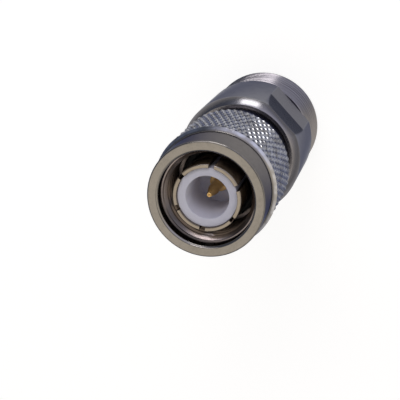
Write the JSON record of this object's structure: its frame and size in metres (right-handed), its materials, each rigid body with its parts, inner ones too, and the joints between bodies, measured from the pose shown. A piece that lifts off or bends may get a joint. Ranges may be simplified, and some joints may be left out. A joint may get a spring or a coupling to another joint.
{
  "type": "n to tnc adapter",
  "caption": "Between-series coaxial adapter: N jack with wrench flats at the foot, TNC plug with a free knurled coupling nut at the top.",
  "frame": {"origin": "centre of the N jack's end face, which the adapter stands on", "axes": "+Z along the common axis, from the N jack to the TNC plug; +X through the middle of one wrench flat"},
  "size_m": [0.0162, 0.0162, 0.038],
  "materials": {
    "nickel_body": "nickel plated, bright",
    "nickel_nut": "nickel plated, bright",
    "nickel_contact": "nickel plated, satin",
    "spring_steel": "bright spring steel",
    "gasket_rubber": "matte silicone rubber, black",
    "ptfe": "waxy white PTFE",
    "gold_contact": "gold plated"
  },
  "bodies": {
    "adapter": {"main_body": "nickel_body", "nut_snap_ring": "spring_steel", "nut_gasket": "gasket_rubber", "outer_contact": "nickel_contact", "tnc_insulator": "ptfe", "n_insulator": "ptfe", "centre_pin": "gold_contact", "socket_contact": "gold_contact"},
    "nut": {"coupling_nut": "nickel_nut"}
  },
  "joints": [
    {"name": "nut_turn", "type": "hinge", "parent": "adapter", "child": "nut", "pos_m": [0, 0, 0.0259], "axis": [0, 0, 1], "continuous": true}
  ]
}
